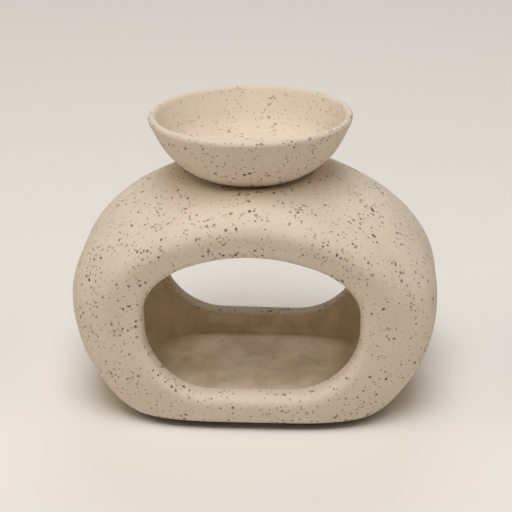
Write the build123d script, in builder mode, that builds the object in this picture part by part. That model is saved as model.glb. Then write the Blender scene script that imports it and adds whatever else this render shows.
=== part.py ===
"""Essential oil burner in speckled stoneware, in millimetres.

A hollow pebble body is open from front to back, a round bowl sits in a vent in its crown,
and four thin pads carry it. +Z is up, the front faces -Y, and the origin lies on the table
under the middle of the body.
"""

import os
from math import cos, pi, sin

from build123d import *

# Body form: level slices are ovals that are widest at the waist
body_half_depth = 34.8
waist_height = 38.3
crown_rise = 42.15  # from the waist to where the crown would close
keel_sink = 11.3  # from the table down to where the underside would close
crown_width_power = 1.95
crown_depth_power = 8.7  # keeps the faces upright up to the shoulder
crown_top_power = 1.65  # rounds the crown from the shoulder to the seat
keel_width_power = 2.21
keel_depth_power = 4.7
waist_plan_power = 3.75
crown_plan_power = 1.3
slices_above_waist = 9
slices_below_waist = 5
points_per_slice = 40
base_edge_radius = 1.5

# Chamber inside the body
face_wall = 8.0
side_wall = 9.0
roof_wall = 8.0
base_wall = 3.9
chamber_sink = 9.6  # from the floor down to where the chamber would close
chamber_cap = 0.975  # share of its rise at which the chamber ends under the vent
fold_radius = 1.2

# Opening through the body, front to back
opening_half_width = 34.2
jamb_width = 25.4  # clay beside the opening, at the waist
sill_face = 5.7  # upright strip left between the lip's round and the base's
side_upright = 5.7  # straight side left between the sill's corner and the arch
lintel_drop = 19.25  # from where the crown would close down to the arch
arch_rise = 21.1
lip_radius = 3.0
inner_lip_radius = 1.5

# Seat for the bowl in the crown
seat_margin = 0.3  # flat left round the bowl's foot
seat_shift = -1.5  # along X, where the bowl stands in the photo
seat_land = 4.2  # ring under the bowl's foot, round the spigot
spigot_depth = 3.5
spigot_wall = 3.0
spigot_clearance = 0.4
vent_edge_radius = 1.0

# Bowl, heights measured from its seat
rim_radius = 33.2
rim_height = 18.8
rim_wall = 2.8
rim_rounding = 0.4  # of the rim's wall
cone_height = 7.0
cone_draw_in = 3.4
foot_radius = 17.2
well_height = 4.2
well_corner_radius = 11.0
bowl_floor_wall = 3.2

# Foot pads
pad_radius = 5.0
pad_height = 2.4
pad_inset = 14.0  # from the edge of the base to a pad's middle

# Places that follow from the sizes above
body_half_width = opening_half_width + jamb_width
base_height = pad_height
floor_height = base_height + base_wall
crown_height = waist_height + crown_rise
keel_drop = waist_height + keel_sink
sill_height = base_height + (base_edge_radius + sill_face + lip_radius)
spring_height = crown_height - lintel_drop - arch_rise
sill_corner_radius = spring_height - (sill_height + side_upright)
seat_radius = foot_radius + seat_margin
spigot_radius = foot_radius - seat_land
vent_radius = spigot_radius + spigot_clearance


def swell(share, power, closing_power):
    """Part of the waist size that is left at a share of the way to where the form closes."""
    return (1 - share**power) ** (1 / closing_power)


def crown_share(radius):
    """Share of the crown's rise up to which its slices are as wide and as deep as a circle."""
    across = swell(radius / body_half_width, crown_width_power, crown_width_power)
    along = swell(radius / body_half_depth, crown_top_power, crown_depth_power)
    return min(across, along)


def slice_size(height, half_width, half_depth, rise, drop):
    """Half width, half depth and plan power of the level slice at a height."""
    if height >= waist_height:
        share = (height - waist_height) / rise
        width = half_width * swell(share, crown_width_power, crown_width_power)
        depth = half_depth * swell(share, crown_depth_power, crown_top_power)
        power = crown_plan_power + (waist_plan_power - crown_plan_power) * (1 - share**2)
        return width, depth, power
    share = (waist_height - height) / drop
    width = half_width * swell(share, keel_width_power, keel_width_power)
    depth = half_depth * swell(share, keel_depth_power, keel_depth_power)
    return width, depth, waist_plan_power


def oval(half_width, half_depth, power):
    """Points round a superellipse, from +X towards +Y."""
    points = []
    for step in range(points_per_slice):
        across = cos(2 * pi * step / points_per_slice)
        along = sin(2 * pi * step / points_per_slice)
        reach = (abs(across) ** power + abs(along) ** power) ** (-1 / power)
        points.append((half_width * reach * across, half_depth * reach * along))
    return points


def pebble(half_width, half_depth, rise, drop, low, high):
    """Loft of oval slices from a low height to a high one, closer together at the top."""
    below = [low + (waist_height - low) * n / slices_below_waist for n in range(slices_below_waist)]
    above = [
        waist_height + (high - waist_height) * sin(pi / 2 * n / slices_above_waist)
        for n in range(slices_above_waist + 1)
    ]
    with BuildPart() as form:
        for height in below + above:
            with BuildSketch(Plane.XY.offset(height)):
                with BuildLine():
                    Spline(*oval(*slice_size(height, half_width, half_depth, rise, drop)), periodic=True)
                make_face()
        loft()
    return form.part


seat_height = waist_height + crown_rise * crown_share(seat_radius)

# Chamber, the hollow that is taken out of the body
chamber_rise = crown_rise - roof_wall
chamber_form = pebble(
    body_half_width - side_wall,
    body_half_depth - face_wall,
    chamber_rise,
    waist_height - floor_height + chamber_sink,
    floor_height,
    waist_height + chamber_cap * chamber_rise,
)
with BuildPart() as chamber:
    add(chamber_form)
    fillet(chamber.edges().group_by(Axis.Z)[0], fold_radius)

# Body
body_form = pebble(body_half_width, body_half_depth, crown_rise, keel_drop, base_height, seat_height)
with BuildPart() as burner_body:
    add(body_form)
    with BuildSketch(Plane.XZ):
        with BuildLine():
            EllipticalCenterArc((0, spring_height), opening_half_width, arch_rise, arc_size=180)
            Polyline(
                (-opening_half_width, spring_height),
                (-opening_half_width, sill_height),
                (opening_half_width, sill_height),
                (opening_half_width, spring_height),
            )
        opening = make_face()
        fillet(opening.vertices().group_by(Axis.Y)[0], sill_corner_radius)
    extrude(amount=2 * body_half_depth, both=True, mode=Mode.SUBTRACT)
    fillet(burner_body.edges(Select.LAST).filter_by(Axis.Y, reverse=True), lip_radius)
    fillet(burner_body.edges().group_by(Axis.Z)[0], base_edge_radius)

    add(chamber.part, mode=Mode.SUBTRACT)
    fillet(burner_body.edges(Select.LAST), inner_lip_radius)

    with Locations((seat_shift, 0, seat_height)):
        Hole(vent_radius, depth=2 * roof_wall)
    fillet(burner_body.edges(Select.LAST).filter_by(GeomType.CIRCLE).group_by(Axis.Z)[-1], vent_edge_radius)

burner_body.part.label = "burner_body"

# Bowl
rim_top = seat_height + rim_height
well_floor = seat_height + well_height
well_corner_x = rim_radius - rim_wall - cone_draw_in * (rim_height - well_height) / cone_height
with BuildPart() as oil_bowl:
    with BuildSketch(Plane.XZ.move(Location((seat_shift, 0, 0)))) as bowl_profile:
        with BuildLine():
            belly = TangentArc(
                (rim_radius - cone_draw_in, rim_top - cone_height),
                (foot_radius, seat_height),
                tangent=(-cone_draw_in, -cone_height),
            )
            Polyline(
                belly @ 1,
                (spigot_radius, seat_height),
                (spigot_radius, seat_height - spigot_depth),
                (spigot_radius - spigot_wall, seat_height - spigot_depth),
                (spigot_radius - spigot_wall, well_floor - bowl_floor_wall),
                (0, well_floor - bowl_floor_wall),
                (0, well_floor),
                (well_corner_x, well_floor),
                (rim_radius - rim_wall, rim_top),
                (rim_radius, rim_top),
                belly @ 0,
            )
        make_face()
        fillet(bowl_profile.vertices().group_by(Axis.Y)[-1], rim_rounding * rim_wall)
        floor_ends = bowl_profile.vertices().filter_by_position(Axis.Y, well_floor, well_floor)
        fillet(floor_ends.sort_by(Axis.X)[-1], well_corner_radius)
    revolve(axis=Axis((seat_shift, 0, 0), (0, 0, 1)))
oil_bowl.part.label = "oil_bowl"

# Pads
base_half_width, base_half_depth, _ = slice_size(
    base_height, body_half_width, body_half_depth, crown_rise, keel_drop
)
with BuildPart() as foot_pads:
    with GridLocations(2 * (base_half_width - pad_inset), 2 * (base_half_depth - pad_inset), 2, 2):
        Cylinder(pad_radius, pad_height, align=(Align.CENTER, Align.CENTER, Align.MIN))
foot_pads.part.label = "foot_pads"

os.makedirs("parts", exist_ok=True)
for piece in (burner_body, oil_bowl, foot_pads):
    export_step(piece.part, f"parts/{piece.part.label}.step")
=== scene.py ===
"""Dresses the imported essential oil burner: speckled stoneware body and bowl, rubber pads, studio."""

import logging
import math
from dataclasses import dataclass
from enum import Enum
from typing import Callable

import bmesh
import bpy
from mathutils import Matrix, Vector, noise


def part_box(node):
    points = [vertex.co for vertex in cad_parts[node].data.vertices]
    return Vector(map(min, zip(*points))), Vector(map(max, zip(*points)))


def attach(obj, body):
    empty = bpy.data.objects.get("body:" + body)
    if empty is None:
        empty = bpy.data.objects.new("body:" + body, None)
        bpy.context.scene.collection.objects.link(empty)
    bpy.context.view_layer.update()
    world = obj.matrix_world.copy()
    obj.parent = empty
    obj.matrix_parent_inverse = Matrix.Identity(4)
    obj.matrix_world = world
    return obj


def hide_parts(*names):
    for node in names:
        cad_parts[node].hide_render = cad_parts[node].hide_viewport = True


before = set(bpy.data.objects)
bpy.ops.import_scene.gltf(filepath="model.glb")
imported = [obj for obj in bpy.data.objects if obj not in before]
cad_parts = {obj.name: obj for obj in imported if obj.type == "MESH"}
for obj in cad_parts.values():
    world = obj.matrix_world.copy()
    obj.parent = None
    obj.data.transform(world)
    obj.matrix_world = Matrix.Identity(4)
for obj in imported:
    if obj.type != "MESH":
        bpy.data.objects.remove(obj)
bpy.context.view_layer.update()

Tree = bpy.types.NodeTree
Socket = bpy.types.NodeSocket
Span = tuple[float, float]

log = logging.getLogger("oil_burner")
MM = 0.001
WELD_MM = 0.001  # points of a CAD mesh that lie closer than this are one point

# Sockets of a Mix node that mixes two colours
FACTOR, COLOUR_A, COLOUR_B, MIXED = 0, 6, 7, 2


def linear(hex_colour: str) -> tuple[float, float, float, float]:
    """Turns an sRGB hex colour into the linear RGBA that shaders read.

    Args:
        hex_colour: Colour such as "#C8B49A".

    Returns:
        Linear red, green and blue with an alpha of 1.
    """
    channels = [int(hex_colour[i : i + 2], 16) / 255 for i in (1, 3, 5)]
    lit = [c / 12.92 if c <= 0.04045 else ((c + 0.055) / 1.055) ** 2.4 for c in channels]
    return (lit[0], lit[1], lit[2], 1.0)


def per_metre(size_mm: float) -> float:
    """Texture scale at which one cell or wave of a pattern is size_mm wide."""
    return 1.0 / (size_mm * MM)


def ramp(value: float, low: float, high: float) -> float:
    """Smooth step from 0 at low to 1 at high.

    Args:
        value: Number to place between the two limits.
        low: Value and everything below it that gives 0.
        high: Value and everything above it that gives 1.

    Returns:
        A share from 0 to 1.
    """
    share = min(max((value - low) / (high - low), 0.0), 1.0)
    return share * share * (3.0 - 2.0 * share)


def bearing(azimuth_deg: float, elevation_deg: float) -> Vector:
    """Direction from the piece towards a lamp or a camera.

    Args:
        azimuth_deg: Turn about +Z from the front, towards +X.
        elevation_deg: Angle above the table.

    Returns:
        A vector of length 1.
    """
    around, above = math.radians(azimuth_deg), math.radians(elevation_deg)
    level = math.cos(above)
    return Vector((math.sin(around) * level, -math.cos(around) * level, math.sin(above)))


def add_node(tree: Tree, kind: str, inputs: dict | None = None, **settings) -> bpy.types.Node:
    """Adds a shader node, sets its properties and fills or links its inputs.

    Args:
        tree: Node tree that takes the node.
        kind: Blender's name for the node type.
        inputs: Input name or number to a value, or to the output socket it is linked to.
        **settings: Properties of the node itself.

    Returns:
        The new node.
    """
    node = tree.nodes.new(kind)
    for name, value in settings.items():
        setattr(node, name, value)
    for key, value in (inputs or {}).items():
        if isinstance(value, bpy.types.NodeSocket):
            tree.links.new(value, node.inputs[key])
        else:
            node.inputs[key].default_value = value
    return node


def blank_material(name: str) -> tuple[bpy.types.Material, Tree]:
    """Makes a material with an empty node tree.

    Args:
        name: Name of the material.

    Returns:
        The material and its node tree.
    """
    material = bpy.data.materials.new(name)
    material.use_nodes = True
    material.node_tree.nodes.clear()
    return material, material.node_tree


class GlazeMark(Enum):
    """Places that a piece stores on its mesh, as shares from 0 to 1, for the glaze to read."""

    INSIDE = "chamber_painted_light"
    UNDER = "raw_underside_and_shade"
    COVER = "glaze_over_specks"

    def store(self, mesh: bpy.types.Mesh, shares: list[float]) -> None:
        """Writes one share for each vertex of the mesh."""
        mesh.attributes.new(self.value, "FLOAT", "POINT").data.foreach_set("value", shares)


class Speck(Enum):
    """Kinds of iron speck that burn through a stoneware glaze."""

    PEPPER = "pepper"
    SPOT = "spot"
    BLOOM = "bloom"


class LampTint(Enum):
    """Colours of the studio's light: cool from above, white from behind, warm from the other sides."""

    WHITE = "#FFFFFF"
    COOL = "#F9FBFF"
    WARM = "#FFF0D6"


@dataclass(frozen=True)
class SpeckLayer:
    """One size of speck: the spacing of its grains in the clay, their radii, and how they show."""

    kind: Speck
    spacing_mm: float
    least_mm: float
    most_mm: float
    softness: float
    strength: float


@dataclass(frozen=True)
class SpeckledStoneware:
    """Stoneware from a speckled clay, cast, sponged smooth and fired with a thin matt glaze.

    Iron grains in the clay melt and burn brown through the glaze, in clusters, as sharp dark specks
    and a few soft blooms. The glaze leaves a warm sand colour that drifts a little from place to
    place, no mirror shine, and a faint grain that only shows where light rakes over it.
    """

    name: str = "stoneware_speckled_matt_glaze"

    # Glazed clay: broad drifts from pale to warm, with clouds of the plain clay colour over them
    pale_hex: str = "#E2D3C8"
    warm_hex: str = "#CCC0A4"
    clay_hex: str = "#D8CBB9"
    drift_mm: float = 21.0
    cloud_mm: float = 6.0
    cloud_span: Span = (0.3, 0.7)
    clay_span: Span = (0.15, 0.85)

    # Iron specks: crowded in clusters, ragged at the edge, some darker than others
    speck_hex: str = "#3F240E"
    bloom_hex: str = "#A48C6C"
    cluster_mm: float = 6.5
    cluster_span: Span = (0.36, 0.64)
    crowding_span: Span = (0.5, 1.3)
    ragged_mm: float = 0.8
    ragged_reach_mm: float = 0.6
    faintest_speck: float = 0.35
    covered_specks: float = 0.2
    layers: tuple[SpeckLayer, ...] = (
        SpeckLayer(Speck.PEPPER, spacing_mm=1.25, least_mm=0.1, most_mm=0.44, softness=0.52, strength=0.95),
        SpeckLayer(Speck.SPOT, spacing_mm=1.8, least_mm=0.26, most_mm=0.68, softness=0.52, strength=1.0),
        SpeckLayer(Speck.BLOOM, spacing_mm=3.4, least_mm=0.4, most_mm=1.3, softness=1.0, strength=0.3),
    )

    # Painted light in the chamber: a paler, warmer clay colour with soft blots, set to how the chamber is
    # lit
    chamber_light_hex: str = "#ECDDC6"
    chamber_blot_hex: str = "#D6C6AA"
    chamber_blot_mm: float = 9.0
    chamber_blot_swirl: float = 0.6
    chamber_blot_span: Span = (0.36, 0.64)
    # Raw clay under the base, painted dark: partly the unglazed foot, partly painted shade in the gap under
    # the base
    raw_and_shade_hex: str = "#54412F"

    # Painted shade that darkens the glaze's colour in tight folds, where walls close in
    crevice_shade_hex: str = "#4A3926"
    crevice_mm: float = 8.0
    crevice_open: float = 0.82
    crevice_shut: float = 0.56
    crevice_most: float = 0.9
    crevice_samples: int = 8

    # Surface of a matt glaze: its grain is about 0.3 mm wide and is drawn coarser, so that it shows
    grain_mm: float = 0.8
    grain_depth_mm: float = 0.035
    peel_mm: float = 3.2
    peel_share: float = 2.0
    roughness: float = 0.72
    roughness_spread: float = 0.12
    ior: float = 1.5
    specular: float = 0.35

    def ground(self, tree: Tree, place: Socket) -> tuple[Socket, Socket]:
        """Adds the glazed clay's own colour.

        Args:
            tree: Node tree of the material.
            place: Position on the piece.

        Returns:
            Socket of the colour, and socket of the clouds in it.
        """
        drift = add_node(
            tree, "ShaderNodeTexNoise", {"Vector": place, "Scale": per_metre(self.drift_mm), "Detail": 3.0}
        )
        cloud = add_node(
            tree, "ShaderNodeTexNoise", {"Vector": place, "Scale": per_metre(self.cloud_mm), "Detail": 4.0}
        )
        drifting = add_node(
            tree,
            "ShaderNodeMix",
            {
                FACTOR: drift.outputs["Fac"],
                COLOUR_A: linear(self.pale_hex),
                COLOUR_B: linear(self.warm_hex),
            },
            data_type="RGBA",
        )
        cloudy = add_node(
            tree,
            "ShaderNodeMapRange",
            {
                "Value": cloud.outputs["Fac"],
                "From Min": self.cloud_span[0],
                "From Max": self.cloud_span[1],
                "To Min": self.clay_span[0],
                "To Max": self.clay_span[1],
            },
        )
        glazed = add_node(
            tree,
            "ShaderNodeMix",
            {FACTOR: cloudy.outputs[0], COLOUR_A: drifting.outputs[MIXED], COLOUR_B: linear(self.clay_hex)},
            data_type="RGBA",
        )
        return glazed.outputs[MIXED], cloud.outputs["Fac"]

    def chamber_and_underside_tone(self, tree: Tree, place: Socket, glazed: Socket) -> Socket:
        """Adds the chamber's painted light and the underside's raw clay, painted dark as shade under the
        base.

        Args:
            tree: Node tree of the material.
            place: Position on the piece.
            glazed: Colour of the glazed clay.

        Returns:
            Socket of the colour, with the glazed colour left outside the chamber and the underside.
        """
        # Painted light: the chamber's walls get a paler, warmer colour with soft blots, set to how the
        # chamber is lit
        blot = add_node(
            tree,
            "ShaderNodeTexNoise",
            {
                "Vector": place,
                "Scale": per_metre(self.chamber_blot_mm),
                "Detail": 3.0,
                "Distortion": self.chamber_blot_swirl,
            },
        )
        blotted = add_node(
            tree,
            "ShaderNodeMapRange",
            {"Value": blot.outputs["Fac"], "From Min": self.chamber_blot_span[0], "From Max": self.chamber_blot_span[1]},
        )
        chamber_tone = add_node(
            tree,
            "ShaderNodeMix",
            {FACTOR: blotted.outputs[0], COLOUR_A: linear(self.chamber_light_hex), COLOUR_B: linear(self.chamber_blot_hex)},
            data_type="RGBA",
        )
        inside = add_node(tree, "ShaderNodeAttribute", attribute_name=GlazeMark.INSIDE.value)
        walled = add_node(
            tree,
            "ShaderNodeMix",
            {FACTOR: inside.outputs["Fac"], COLOUR_A: glazed, COLOUR_B: chamber_tone.outputs[MIXED]},
            data_type="RGBA",
        )
        # Underside: raw clay, partly painted shade in the gap under the base
        under = add_node(tree, "ShaderNodeAttribute", attribute_name=GlazeMark.UNDER.value)
        based = add_node(
            tree,
            "ShaderNodeMix",
            {FACTOR: under.outputs["Fac"], COLOUR_A: walled.outputs[MIXED], COLOUR_B: linear(self.raw_and_shade_hex)},
            data_type="RGBA",
        )
        return based.outputs[MIXED]

    def speck_mask(self, tree: Tree, place: Socket, crowding: Socket, layer: SpeckLayer) -> Socket:
        """Adds one layer of specks, each with its own random radius and darkness.

        Args:
            tree: Node tree of the material.
            place: Ragged position on the piece.
            crowding: Factor on the radius, high in a cluster.
            layer: Size and strength of the specks.

        Returns:
            Socket that is up to the layer's strength inside a speck, and 0 outside.
        """
        grains = add_node(
            tree,
            "ShaderNodeTexVoronoi",
            {"Vector": place, "Scale": per_metre(layer.spacing_mm)},
            voronoi_dimensions="3D",
            feature="F1",
        )
        lot = add_node(tree, "ShaderNodeSeparateColor", {"Color": grains.outputs["Color"]})
        radius = add_node(
            tree,
            "ShaderNodeMapRange",
            {
                "Value": lot.outputs["Red"],
                "To Min": layer.least_mm / layer.spacing_mm,
                "To Max": layer.most_mm / layer.spacing_mm,
            },
        )
        grown = add_node(tree, "ShaderNodeMath", {0: radius.outputs[0], 1: crowding}, operation="MULTIPLY")
        core = add_node(
            tree, "ShaderNodeMath", {0: grown.outputs[0], 1: 1.0 - layer.softness}, operation="MULTIPLY"
        )
        mask = add_node(
            tree,
            "ShaderNodeMapRange",
            {
                "Value": grains.outputs["Distance"],
                "From Min": grown.outputs[0],
                "From Max": core.outputs[0],
                "To Min": 0.0,
                "To Max": layer.strength,
            },
            interpolation_type="SMOOTHSTEP",
            clamp=True,
        )
        shade = add_node(
            tree,
            "ShaderNodeMapRange",
            {"Value": lot.outputs["Green"], "To Min": self.faintest_speck, "To Max": 1.0},
        )
        varied = add_node(
            tree, "ShaderNodeMath", {0: mask.outputs["Result"], 1: shade.outputs[0]}, operation="MULTIPLY"
        )
        return varied.outputs[0]

    def specks(self, tree: Tree, place: Socket) -> dict[Speck, Socket]:
        """Adds all layers of specks, with shared clusters and ragged edges.

        Args:
            tree: Node tree of the material.
            place: Position on the piece.

        Returns:
            Kind of speck to the socket of its mask.
        """
        ragged = add_node(
            tree, "ShaderNodeTexNoise", {"Vector": place, "Scale": per_metre(self.ragged_mm), "Detail": 2.0}
        )
        centred = add_node(
            tree,
            "ShaderNodeVectorMath",
            {0: ragged.outputs["Color"], 1: (0.5, 0.5, 0.5)},
            operation="SUBTRACT",
        )
        push = add_node(
            tree,
            "ShaderNodeVectorMath",
            {0: centred.outputs[0], "Scale": 2.0 * self.ragged_reach_mm * MM},
            operation="SCALE",
        )
        shaken = add_node(tree, "ShaderNodeVectorMath", {0: place, 1: push.outputs[0]}, operation="ADD")
        cluster = add_node(
            tree,
            "ShaderNodeTexNoise",
            {"Vector": place, "Scale": per_metre(self.cluster_mm), "Detail": 2.0},
        )
        crowding = add_node(
            tree,
            "ShaderNodeMapRange",
            {
                "Value": cluster.outputs["Fac"],
                "From Min": self.cluster_span[0],
                "From Max": self.cluster_span[1],
                "To Min": self.crowding_span[0],
                "To Max": self.crowding_span[1],
            },
        )
        return {
            layer.kind: self.speck_mask(tree, shaken.outputs[0], crowding.outputs[0], layer)
            for layer in self.layers
        }

    def burnt_through(self, tree: Tree, masks: dict[Speck, Socket]) -> Socket:
        """Joins the dark specks and veils them where the glaze lies thick.

        Args:
            tree: Node tree of the material.
            masks: Kind of speck to the socket of its mask.

        Returns:
            Socket that is 1 where a speck is fully dark.
        """
        burnt = add_node(
            tree, "ShaderNodeMath", {0: masks[Speck.PEPPER], 1: masks[Speck.SPOT]}, operation="MAXIMUM"
        )
        cover = add_node(tree, "ShaderNodeAttribute", attribute_name=GlazeMark.COVER.value)
        showing = add_node(
            tree,
            "ShaderNodeMapRange",
            {"Value": cover.outputs["Fac"], "To Min": 1.0, "To Max": self.covered_specks},
        )
        dark = add_node(
            tree, "ShaderNodeMath", {0: burnt.outputs[0], 1: showing.outputs[0]}, operation="MULTIPLY"
        )
        return dark.outputs[0]

    def painted_crevice_shade(self, tree: Tree) -> Socket:
        """Adds painted shade: a darker colour where walls close in on each other.

        Args:
            tree: Node tree of the material.

        Returns:
            Socket that rises to crevice_most in the tightest folds.
        """
        # Painted shade: ambient occlusion sets how dark the colour gets in a fold
        closeness = add_node(
            tree,
            "ShaderNodeAmbientOcclusion",
            {"Distance": self.crevice_mm * MM},
            samples=self.crevice_samples,
            only_local=True,
        )
        crevice_darkening = add_node(
            tree,
            "ShaderNodeMapRange",
            {
                "Value": closeness.outputs["AO"],
                "From Min": self.crevice_open,
                "From Max": self.crevice_shut,
                "To Min": 0.0,
                "To Max": self.crevice_most,
            },
            interpolation_type="SMOOTHSTEP",
        )
        return crevice_darkening.outputs[0]

    def matt_surface(self, tree: Tree, place: Socket, cloud: Socket, dark: Socket) -> tuple[Socket, Socket]:
        """Adds the sheen, which varies with the clouds, and the fine grain, pitted at the specks.

        Args:
            tree: Node tree of the material.
            place: Position on the piece.
            cloud: Clouds in the glaze.
            dark: Mask of the dark specks.

        Returns:
            Socket of the roughness and socket of the normal.
        """
        sheen = add_node(
            tree,
            "ShaderNodeMapRange",
            {
                "Value": cloud,
                "From Min": self.cloud_span[0],
                "From Max": self.cloud_span[1],
                "To Min": self.roughness - self.roughness_spread / 2,
                "To Max": self.roughness + self.roughness_spread / 2,
            },
        )
        grain = add_node(
            tree, "ShaderNodeTexNoise", {"Vector": place, "Scale": per_metre(self.grain_mm), "Detail": 3.0}
        )
        peel = add_node(
            tree, "ShaderNodeTexNoise", {"Vector": place, "Scale": per_metre(self.peel_mm), "Detail": 1.0}
        )
        rough = add_node(
            tree,
            "ShaderNodeMath",
            {0: peel.outputs["Fac"], 1: self.peel_share, 2: grain.outputs["Fac"]},
            operation="MULTIPLY_ADD",
        )
        pitted = add_node(tree, "ShaderNodeMath", {0: rough.outputs[0], 1: dark}, operation="SUBTRACT")
        bump = add_node(
            tree,
            "ShaderNodeBump",
            {"Height": pitted.outputs[0], "Strength": 1.0, "Distance": self.grain_depth_mm * MM},
        )
        return sheen.outputs[0], bump.outputs["Normal"]

    def material(self) -> bpy.types.Material:
        """Builds the glaze: clay colour with painted light in the chamber, specks, painted shade in folds,
        sheen and fine grain.

        Returns:
            The finished material.
        """
        material, tree = blank_material(self.name)
        place = add_node(tree, "ShaderNodeTexCoord").outputs["Object"]
        glazed, cloud = self.ground(tree, place)
        masks = self.specks(tree, place)
        dark = self.burnt_through(tree, masks)
        bloomed = add_node(
            tree,
            "ShaderNodeMix",
            {
                FACTOR: masks[Speck.BLOOM],
                COLOUR_A: self.chamber_and_underside_tone(tree, place, glazed),
                COLOUR_B: linear(self.bloom_hex),
            },
            data_type="RGBA",
        )
        spotted = add_node(
            tree,
            "ShaderNodeMix",
            {FACTOR: dark, COLOUR_A: bloomed.outputs[MIXED], COLOUR_B: linear(self.speck_hex)},
            data_type="RGBA",
        )
        # Painted shade in the folds, mixed into the colour
        crevice_shaded = add_node(
            tree,
            "ShaderNodeMix",
            {
                FACTOR: self.painted_crevice_shade(tree),
                COLOUR_A: spotted.outputs[MIXED],
                COLOUR_B: linear(self.crevice_shade_hex),
            },
            data_type="RGBA",
        )
        sheen, normal = self.matt_surface(tree, place, cloud, dark)
        glaze = add_node(
            tree,
            "ShaderNodeBsdfPrincipled",
            {
                "Base Color": crevice_shaded.outputs[MIXED],
                "Roughness": sheen,
                "Normal": normal,
                "IOR": self.ior,
                "Specular IOR Level": self.specular,
            },
        )
        add_node(tree, "ShaderNodeOutputMaterial", {"Surface": glaze.outputs[0]})
        return material


@dataclass(frozen=True)
class PadRubber:
    """Rubber sheet, moulded with a fine matt grain and die-cut into discs: dark, dull, dusty grey."""

    name: str = "rubber_moulded_matt"
    rubber_hex: str = "#2E2B28"
    dust_hex: str = "#4A4540"
    dust_mm: float = 4.0
    grain_mm: float = 0.5  # the real grain, about 0.2 mm, is too fine to show
    grain_depth_mm: float = 0.03
    roughness_span: Span = (0.75, 0.95)
    ior: float = 1.52
    specular: float = 0.3

    def material(self) -> bpy.types.Material:
        """Builds the rubber with its dusting and moulded grain.

        Returns:
            The finished material.
        """
        material, tree = blank_material(self.name)
        place = add_node(tree, "ShaderNodeTexCoord").outputs["Object"]
        dust = add_node(
            tree, "ShaderNodeTexNoise", {"Vector": place, "Scale": per_metre(self.dust_mm), "Detail": 4.0}
        )
        colour = add_node(
            tree,
            "ShaderNodeMix",
            {
                FACTOR: dust.outputs["Fac"],
                COLOUR_A: linear(self.rubber_hex),
                COLOUR_B: linear(self.dust_hex),
            },
            data_type="RGBA",
        )
        wear = add_node(
            tree,
            "ShaderNodeMapRange",
            {
                "Value": dust.outputs["Fac"],
                "To Min": self.roughness_span[0],
                "To Max": self.roughness_span[1],
            },
        )
        grain = add_node(
            tree, "ShaderNodeTexNoise", {"Vector": place, "Scale": per_metre(self.grain_mm), "Detail": 2.0}
        )
        bump = add_node(
            tree,
            "ShaderNodeBump",
            {"Height": grain.outputs["Fac"], "Strength": 1.0, "Distance": self.grain_depth_mm * MM},
        )
        rubber = add_node(
            tree,
            "ShaderNodeBsdfPrincipled",
            {
                "Base Color": colour.outputs[MIXED],
                "Roughness": wear.outputs[0],
                "Normal": bump.outputs["Normal"],
                "IOR": self.ior,
                "Specular IOR Level": self.specular,
            },
        )
        add_node(tree, "ShaderNodeOutputMaterial", {"Surface": rubber.outputs[0]})
        return material


@dataclass(frozen=True)
class PaleTable:
    """Painted table top, rolled on and rubbed down: pale warm white, matt, with no pattern.

    Far from the object it fades, for the camera's rays alone, into the pale room behind it.
    """

    name: str = "paint_rolled_pale"
    paint_hex: str = "#E6E2DD"
    room_hex: str = "#DDD7CF"
    fade_from: float = 0.55
    fade_to: float = 1.0
    roughness: float = 0.85
    specular: float = 0.2

    def material(self) -> bpy.types.Material:
        """Builds the plain paint and its far fade.

        Returns:
            The finished material.
        """
        material, tree = blank_material(self.name)
        paint = add_node(
            tree,
            "ShaderNodeBsdfPrincipled",
            {
                "Base Color": linear(self.paint_hex),
                "Roughness": self.roughness,
                "Specular IOR Level": self.specular,
            },
        )
        place = add_node(tree, "ShaderNodeTexCoord").outputs["Object"]
        away = add_node(tree, "ShaderNodeVectorMath", {0: place}, operation="LENGTH").outputs["Value"]
        far = add_node(
            tree,
            "ShaderNodeMapRange",
            {"Value": away, "From Min": self.fade_from, "From Max": self.fade_to},
            interpolation_type="SMOOTHSTEP",
        )
        seen = add_node(tree, "ShaderNodeLightPath").outputs["Is Camera Ray"]
        share = add_node(tree, "ShaderNodeMath", {0: far.outputs[0], 1: seen}, operation="MULTIPLY")
        room = add_node(tree, "ShaderNodeEmission", {"Color": linear(self.room_hex), "Strength": 1.0})
        top = add_node(
            tree, "ShaderNodeMixShader", {0: share.outputs[0], 1: paint.outputs[0], 2: room.outputs[0]}
        )
        add_node(tree, "ShaderNodeOutputMaterial", {"Surface": top.outputs[0]})
        return material


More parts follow.
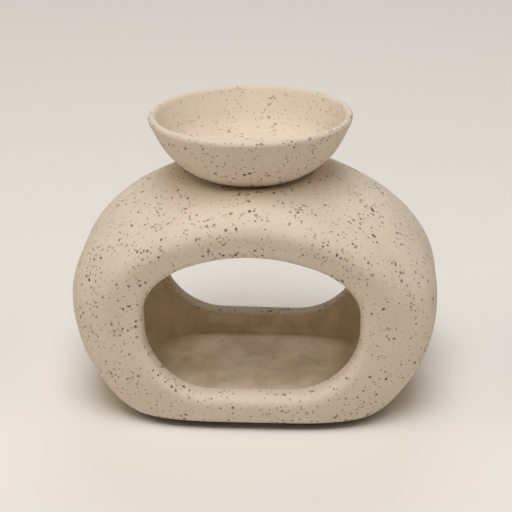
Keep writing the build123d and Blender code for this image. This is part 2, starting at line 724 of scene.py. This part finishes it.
@dataclass
class CastPiece:
    """A slip-cast piece that takes its form from a CAD node and gets the slight waver of handwork."""

    node: str
    carrier: str
    finish: SpeckledStoneware
    voxel_mm: float
    waver_mm: float
    waver_span_mm: float
    ripple_mm: float
    ripple_span_mm: float
    seed: float
    wear_steps: int = 4
    wear_share: float = 0.5

    def fine_mesh(self) -> bpy.types.Object:
        """Copies the node's form into an even, fine mesh with its edges worn soft.

        Returns:
            The new object, linked to the scene.
        """
        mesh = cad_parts[self.node].data.copy()
        mesh.materials.clear()
        form = bmesh.new()
        form.from_mesh(mesh)
        bmesh.ops.remove_doubles(form, verts=form.verts, dist=WELD_MM * MM)
        form.to_mesh(mesh)
        form.free()
        piece = bpy.data.objects.new(f"{self.node}_cast", mesh)
        bpy.context.scene.collection.objects.link(piece)
        even = piece.modifiers.new("even", "REMESH")
        even.mode = "VOXEL"
        even.voxel_size = self.voxel_mm * MM
        worn = piece.modifiers.new("worn", "SMOOTH")
        worn.factor = self.wear_share
        worn.iterations = self.wear_steps
        graph = bpy.context.evaluated_depsgraph_get()
        fine = bpy.data.meshes.new_from_object(piece.evaluated_get(graph))
        piece.modifiers.clear()
        piece.data = fine
        fine.name = piece.name
        bpy.data.meshes.remove(mesh)
        return piece

    def freedom(self) -> Callable[[Vector], float]:
        """Share of the waver at a point: 1 everywhere, unless a seat has to stay true."""
        return lambda point: 1.0

    def settle(self, mesh: bpy.types.Mesh, normals: list[Vector]) -> None:
        """Changes of form that only one of the pieces has; none by default."""

    def mark_glaze(self, mesh: bpy.types.Mesh, normals: list[Vector]) -> None:
        """Stores where the glaze is missing or thick; nowhere by default."""

    def waver(self, piece: bpy.types.Object) -> None:
        """Moves the surface in and out a little, as hand-finished clay does.

        Args:
            piece: Object whose mesh is moved along its normals.
        """
        shift = Vector((self.seed, 2.0 * self.seed, 3.0 * self.seed))
        mesh = piece.data
        free = self.freedom()
        normals = [corner.vector.copy() for corner in mesh.vertex_normals]
        for vertex, normal in zip(mesh.vertices, normals):
            slow = noise.noise(vertex.co / (self.waver_span_mm * MM) + shift)
            quick = noise.noise(vertex.co / (self.ripple_span_mm * MM) - shift)
            depth = self.waver_mm * slow + self.ripple_mm * quick
            vertex.co += normal * (depth * MM * free(vertex.co))
        self.settle(mesh, normals)
        self.mark_glaze(mesh, normals)
        mesh.polygons.foreach_set("use_smooth", [True] * len(mesh.polygons))
        mesh.update()

    def dress(self, piece: bpy.types.Object) -> None:
        """Gives the piece its glaze."""
        piece.data.materials.append(self.finish.material())

    def build(self) -> bpy.types.Object:
        """Makes the piece, dresses it and puts it in the node's place.

        Returns:
            The finished object.
        """
        piece = self.fine_mesh()
        self.waver(piece)
        self.dress(piece)
        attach(piece, self.carrier)
        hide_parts(self.node)
        return piece


@dataclass
class BurnerBody(CastPiece):
    """Hollow pebble body: its base stays flat for the pads, and its seat stays true for the bowl."""

    bowl_node: str = "oil_bowl"
    base_band_mm: float = 6.0
    seat_radius_mm: float = 20.0
    seat_fade_mm: float = 8.0

    # Outline of the opening, as the solid has it
    opening_half_mm: float = 34.2
    sill_mm: float = 12.6
    sill_corner_mm: float = 21.8
    spring_mm: float = 40.1
    arch_rise_mm: float = 21.1
    least_share: float = 0.01

    # Collar: the shoulder over the arch is fuller, most of all along a ridge outside the opening
    collar_mm: float = 3.3
    collar_out_mm: float = 13.0
    collar_below_mm: float = 10.5
    collar_above_mm: float = 5.5
    collar_lean: float = 0.1
    collar_facing: Span = (-0.6, -0.2)
    collar_depth_mm: Span = (22.0, 26.0)
    collar_rise_mm: Span = (-6.0, 20.0)

    # Cradle: the crown is drawn up in a soft ring round the bowl's foot
    cradle_mm: float = 1.8
    cradle_from_mm: float = 17.6
    cradle_top_mm: float = 23.0
    cradle_to_mm: float = 34.0
    cradle_facing: Span = (0.0, 0.4)
    crown_mm: Span = (60.0, 68.0)

    # Chamber behind the lips, which takes painted light, and raw clay on the underside, partly painted
    # shade
    chamber_half_mm: Span = (27.5, 28.5)
    chamber_edge_mm: Span = (0.2, 1.8)
    chamber_facing: Span = (0.0, 0.4)
    raw_and_shade_band_mm: Span = (0.2, 1.2)
    raw_and_shade_facing: Span = (0.2, 0.7)

    def bowl_middle(self) -> float:
        """Place of the bowl's axis along X, in metres."""
        low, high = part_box(self.bowl_node)
        return (low[0] + high[0]) / 2

    def freedom(self) -> Callable[[Vector], float]:
        """Lets the base and the ring under the bowl keep their true form.

        Returns:
            Function from a place on the piece to a share: 0 on the base and the seat, 1 elsewhere.
        """
        low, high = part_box(self.node)
        middle = self.bowl_middle()
        fade = self.seat_fade_mm * MM
        seat = self.seat_radius_mm * MM

        def share(point: Vector) -> float:
            """Share of the waver at one point."""
            above_base = ramp(point.z, low[2], low[2] + self.base_band_mm * MM)
            off_seat = ramp(math.hypot(point.x - middle, point.y), seat, seat + fade)
            below_seat = 1.0 - ramp(point.z, high[2] - 2.0 * fade, high[2] - fade)
            return above_base * max(off_seat, below_seat)

        return share

    def off_opening(self, point: Vector) -> float:
        """Distance from the opening's outline, seen from the front.

        Args:
            point: Place on the piece.

        Returns:
            Millimetres, below 0 inside the opening.
        """
        across, up = abs(point.x) / MM, point.z / MM
        rise = up - self.spring_mm
        if rise > 0.0:
            share = math.hypot(across / self.opening_half_mm, rise / self.arch_rise_mm)
            return math.hypot(across, rise) * (1.0 - 1.0 / max(share, self.least_share))
        corner_x = across - (self.opening_half_mm - self.sill_corner_mm)
        corner_z = self.sill_mm + self.sill_corner_mm - up
        if corner_x > 0.0 and corner_z > 0.0:
            return math.hypot(corner_x, corner_z) - self.sill_corner_mm
        return max(corner_x, corner_z) - self.sill_corner_mm

    def facing_in(self) -> Callable[[Vector, Vector], float]:
        """Prepares the test for which way a face looks.

        Returns:
            Function from a place and its normal to 1 for a face that looks at the piece's heart, -1 away.
        """
        low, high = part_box(self.node)
        heart = (low + high) / 2
        return lambda point, normal: (heart - point).normalized().dot(normal)

    def collar(self, point: Vector, looks_in: float) -> float:
        """How much fuller the shoulder is at a point.

        Args:
            point: Place on the piece.
            looks_in: 1 for a face that looks at the piece's heart, -1 for one that looks away.

        Returns:
            Metres along Y, away from the middle.
        """
        off_ridge = self.off_opening(point) - self.collar_out_mm
        reach = self.collar_above_mm if off_ridge > 0.0 else self.collar_below_mm
        full = max(1.0 - (off_ridge / reach) ** 2, 0.0) ** 2
        if off_ridge < 0.0:
            full += self.collar_lean * (1.0 - full) * max(1.0 + off_ridge / self.collar_out_mm, 0.0)
        skin = 1.0 - ramp(looks_in, *self.collar_facing)
        forward = ramp(abs(point.y) / MM, *self.collar_depth_mm)
        low, high = self.collar_rise_mm
        above = ramp(point.z / MM, self.spring_mm + low, self.spring_mm + high)
        return self.collar_mm * MM * full * skin * forward * above

    def cradle(self, point: Vector, normal: Vector, bowl_x: float) -> float:
        """How much higher the crown is at a point.

        Args:
            point: Place on the piece.
            normal: Normal at that place.
            bowl_x: Place of the bowl's axis along X.

        Returns:
            Metres along Z.
        """
        from_bowl = math.hypot(point.x - bowl_x, point.y) / MM
        ring = ramp(from_bowl, self.cradle_from_mm, self.cradle_top_mm)
        ring *= 1.0 - ramp(from_bowl, self.cradle_top_mm, self.cradle_to_mm)
        ring *= ramp(normal.z, *self.cradle_facing) * ramp(point.z / MM, *self.crown_mm)
        return self.cradle_mm * MM * ring

    def settle(self, mesh: bpy.types.Mesh, normals: list[Vector]) -> None:
        """Draws the shoulder over the arch a little fuller, and the crown up round the bowl.

        Args:
            mesh: Mesh of the body.
            normals: Normal of each vertex.
        """
        facing = self.facing_in()
        bowl_x = self.bowl_middle()
        for vertex, normal in zip(mesh.vertices, normals):
            raised = self.cradle(vertex.co, normal, bowl_x)
            pushed = self.collar(vertex.co, facing(vertex.co, normal))
            vertex.co.y += math.copysign(pushed, vertex.co.y)
            vertex.co.z += raised

    def mark_glaze(self, mesh: bpy.types.Mesh, normals: list[Vector]) -> None:
        """Stores the chamber's walls, which take painted light, and the underside, raw clay painted dark as
        shade.

        Args:
            mesh: Mesh that takes the marks.
            normals: Normal of each vertex.
        """
        facing = self.facing_in()
        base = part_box(self.node)[0].z
        low, high = self.raw_and_shade_band_mm
        inside, under = [], []
        for vertex, normal in zip(mesh.vertices, normals):
            # Mask of the chamber's walls, which take painted light
            hidden = ramp(self.off_opening(vertex.co), *self.chamber_edge_mm)
            within = 1.0 - ramp(abs(vertex.co.y) / MM, *self.chamber_half_mm)
            inside.append(ramp(facing(vertex.co, normal), *self.chamber_facing) * hidden * within)
            # Mask of the underside's raw clay, partly painted shade in the gap under the base
            at_base = 1.0 - ramp(vertex.co.z, base + low * MM, base + high * MM)
            under.append(at_base * ramp(-normal.z, *self.raw_and_shade_facing))
        GlazeMark.INSIDE.store(mesh, inside)
        GlazeMark.COVER.store(mesh, inside)
        GlazeMark.UNDER.store(mesh, under)


@dataclass
class OilBowl(CastPiece):
    """Shallow bowl: its foot and spigot stay true, so that it still sits in the vent."""

    foot_band_mm: float = 9.0
    true_share: float = 0.5
    lean_right: float = 0.009
    lean_front: float = 0.047
    well_cover: float = 0.55
    well_facing: Span = (0.2, 0.9)

    def freedom(self) -> Callable[[Vector], float]:
        """Lets the foot keep its true form.

        Returns:
            Function from a place on the piece to a share: 0 on the foot and spigot, 1 above them.
        """
        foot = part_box(self.node)[0][2]
        band = self.foot_band_mm * MM
        return lambda point: ramp(point.z, foot + self.true_share * band, foot + band)

    def settle(self, mesh: bpy.types.Mesh, normals: list[Vector]) -> None:
        """Lets the rim lean a little, as a bowl's does that was levelled by eye.

        Args:
            mesh: Mesh of the bowl.
            normals: Normal of each vertex; not used.
        """
        low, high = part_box(self.node)
        middle = (low + high) / 2
        foot = low.z + self.true_share * self.foot_band_mm * MM
        for vertex in mesh.vertices:
            up = max((vertex.co.z - foot) / (high.z - foot), 0.0)
            out = vertex.co - middle
            vertex.co.z += up * (self.lean_right * out.x - self.lean_front * out.y)

    def mark_glaze(self, mesh: bpy.types.Mesh, normals: list[Vector]) -> None:
        """Stores where the glaze pooled thicker in the well and veils the specks.

        Args:
            mesh: Mesh that takes the mark.
            normals: Normal of each vertex.
        """
        low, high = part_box(self.node)
        middle = (low + high) / 2
        shares = []
        for vertex, normal in zip(mesh.vertices, normals):
            out = Vector((vertex.co.x - middle.x, vertex.co.y - middle.y, 0.0)).normalized()
            shares.append(self.well_cover * ramp(normal.z - normal.dot(out), *self.well_facing))
        GlazeMark.COVER.store(mesh, shares)


@dataclass
class FootPads:
    """Four die-cut discs under the base, each with a rounded lower edge."""

    node: str
    carrier: str
    finish: PadRubber
    edge_mm: float = 0.35
    around: int = 48
    edge_steps: int = 4

    def centres(self) -> tuple[list[tuple[float, float]], float]:
        """Reads where the four discs stand from the node's box and its own vertices.

        Returns:
            The discs' middles and their radius, in metres.
        """
        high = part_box(self.node)[1]
        inner_x = min(abs(v.co.x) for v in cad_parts[self.node].data.vertices)
        radius = (high[0] - inner_x) / 2
        x, y = high[0] - radius, high[1] - radius
        return [(sx * x, sy * y) for sx in (-1, 1) for sy in (-1, 1)], radius

    def profile(self, radius: float) -> list[tuple[float, float]]:
        """Outline of one disc from its lower face to its top, round the edge.

        Args:
            radius: Radius of the disc, in metres.

        Returns:
            Pairs of distance from the disc's axis and height.
        """
        low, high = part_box(self.node)
        edge = self.edge_mm * MM
        turns = [math.pi / 2 * step / self.edge_steps for step in range(self.edge_steps + 1)]
        points = [(radius - edge + edge * math.sin(t), low[2] + edge - edge * math.cos(t)) for t in turns]
        return points + [(radius, high[2])]

    def dress(self, piece: bpy.types.Object) -> None:
        """Gives the discs their rubber."""
        piece.data.materials.append(self.finish.material())

    def build(self) -> bpy.types.Object:
        """Turns the four discs, dresses them and puts them in the node's place.

        Returns:
            The finished object.
        """
        middles, radius = self.centres()
        angles = [2 * math.pi * k / self.around for k in range(self.around)]
        form = bmesh.new()
        for x, y in middles:
            rings = []
            for out, height in self.profile(radius):
                places = [(x + out * math.cos(a), y + out * math.sin(a), height) for a in angles]
                rings.append([form.verts.new(place) for place in places])
            for lower, upper in zip(rings, rings[1:]):
                for k in range(self.around):
                    after = (k + 1) % self.around
                    form.faces.new((lower[k], lower[after], upper[after], upper[k]))
            form.faces.new(list(reversed(rings[0])))
            form.faces.new(rings[-1])
        mesh = bpy.data.meshes.new(f"{self.node}_cut")
        form.to_mesh(mesh)
        form.free()
        mesh.polygons.foreach_set("use_smooth", [len(face.vertices) == 4 for face in mesh.polygons])
        piece = bpy.data.objects.new(mesh.name, mesh)
        bpy.context.scene.collection.objects.link(piece)
        self.dress(piece)
        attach(piece, self.carrier)
        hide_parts(self.node)
        return piece


@dataclass(frozen=True)
class SoftBox:
    """Round soft box that faces the piece."""

    name: str
    watts: float
    azimuth_deg: float
    elevation_deg: float
    tint: LampTint
    size: float = 0.9
    distance: float = 1.4

    def build(self, aim: Vector) -> None:
        """Hangs the lamp.

        Args:
            aim: Place that the lamp faces.
        """
        lamp = bpy.data.lights.new(self.name, "AREA")
        lamp.shape = "DISK"
        lamp.size = self.size
        lamp.energy = self.watts
        lamp.color = linear(self.tint.value)[:3]
        away = bearing(self.azimuth_deg, self.elevation_deg)
        box = bpy.data.objects.new(self.name, lamp)
        box.location = aim + self.distance * away
        box.rotation_euler = (-away).to_track_quat("-Z", "Y").to_euler()
        bpy.context.scene.collection.objects.link(box)


@dataclass
class Studio:
    """Pale table, soft boxes all round and a camera at the photograph's angle."""

    table: PaleTable
    table_reach: float = 6.0
    sky_strength: float = 0.02
    lamps: tuple[SoftBox, ...] = (
        SoftBox("key", watts=14.8, azimuth_deg=-3.0, elevation_deg=72.0, tint=LampTint.COOL),
        SoftBox("back", watts=4.0, azimuth_deg=180.0, elevation_deg=45.0, tint=LampTint.WHITE),
        SoftBox("front", watts=2.3, azimuth_deg=0.0, elevation_deg=35.0, tint=LampTint.WARM),
        SoftBox("left", watts=4.7, azimuth_deg=-80.0, elevation_deg=35.0, tint=LampTint.WARM),
        SoftBox("right", watts=3.3, azimuth_deg=80.0, elevation_deg=35.0, tint=LampTint.WARM),
    )
    image_pixels: float = 512.0
    sensor_mm: float = 36.0
    focal_pixels: float = 1507.6
    nearest: float = 0.01
    distance: float = 0.5
    azimuth_deg: float = 3.2
    elevation_deg: float = 24.65
    roll_deg: float = -0.37
    aim: tuple[float, float, float] = (-0.0002, 0.002, 0.04618)

    def floor(self) -> bpy.types.Object:
        """Lays the table top under the pads.

        Returns:
            The stage object.
        """
        half = self.table_reach / 2
        corners = [(-half, -half, 0.0), (half, -half, 0.0), (half, half, 0.0), (-half, half, 0.0)]
        mesh = bpy.data.meshes.new("table_top")
        mesh.from_pydata(corners, [], [(0, 1, 2, 3)])
        top = bpy.data.objects.new("table_top", mesh)
        bpy.context.scene.collection.objects.link(top)
        mesh.materials.append(self.table.material())
        return top

    def sky(self) -> None:
        """Sets the faint even sky, and the pale room that only the camera's rays see."""
        world = bpy.data.worlds.new("studio_sky")
        bpy.context.scene.world = world
        world.use_nodes = True
        tree = world.node_tree
        tree.nodes.clear()
        glow = add_node(
            tree,
            "ShaderNodeBackground",
            {"Color": linear(LampTint.WHITE.value), "Strength": self.sky_strength},
        )
        room = add_node(
            tree, "ShaderNodeBackground", {"Color": linear(self.table.room_hex), "Strength": 1.0}
        )
        seen = add_node(tree, "ShaderNodeLightPath").outputs["Is Camera Ray"]
        both = add_node(tree, "ShaderNodeMixShader", {0: seen, 1: glow.outputs[0], 2: room.outputs[0]})
        add_node(tree, "ShaderNodeOutputWorld", {"Surface": both.outputs[0]})

    def camera(self) -> bpy.types.Object:
        """Places the camera where the photograph was taken from.

        Returns:
            The camera object, set as the scene's camera.
        """
        lens = bpy.data.cameras.new("photo_camera")
        lens.sensor_width = self.sensor_mm
        lens.lens = self.focal_pixels / self.image_pixels * self.sensor_mm
        lens.clip_start = self.nearest
        away = bearing(self.azimuth_deg, self.elevation_deg)
        eye = bpy.data.objects.new("photo_camera", lens)
        turn = (-away).to_track_quat("-Z", "Y").to_matrix().to_4x4()
        roll = Matrix.Rotation(math.radians(self.roll_deg), 4, "Z")
        eye.matrix_world = Matrix.Translation(Vector(self.aim) + self.distance * away) @ turn @ roll
        bpy.context.scene.collection.objects.link(eye)
        bpy.context.scene.camera = eye
        return eye

    def build(self) -> None:
        """Sets up the table, the sky, the lamps and the camera."""
        self.floor()
        self.sky()
        for lamp in self.lamps:
            lamp.build(Vector(self.aim))
        self.camera()
        bpy.context.scene.view_settings.view_transform = "Standard"


def main() -> None:
    """Builds the pieces in order."""
    logging.basicConfig(level=logging.INFO, format="%(message)s")
    glaze = SpeckledStoneware()
    pieces = (
        BurnerBody(
            node="burner_body",
            carrier="burner",
            finish=glaze,
            voxel_mm=0.8,
            waver_mm=0.35,
            waver_span_mm=24.0,
            ripple_mm=0.06,
            ripple_span_mm=5.0,
            seed=3.7,
        ),
        OilBowl(
            node="oil_bowl",
            carrier="bowl",
            finish=glaze,
            voxel_mm=0.6,
            waver_mm=0.3,
            waver_span_mm=20.0,
            ripple_mm=0.05,
            ripple_span_mm=4.5,
            seed=8.2,
        ),
        FootPads(node="foot_pads", carrier="burner", finish=PadRubber()),
    )
    for part in pieces:
        piece = part.build()
        log.info("%s: %d faces", piece.name, len(piece.data.polygons))
    studio = Studio(table=PaleTable())
    studio.build()
    log.info("studio: table, %d lamps and camera", len(studio.lamps))


if __name__ == "__main__":
    main()
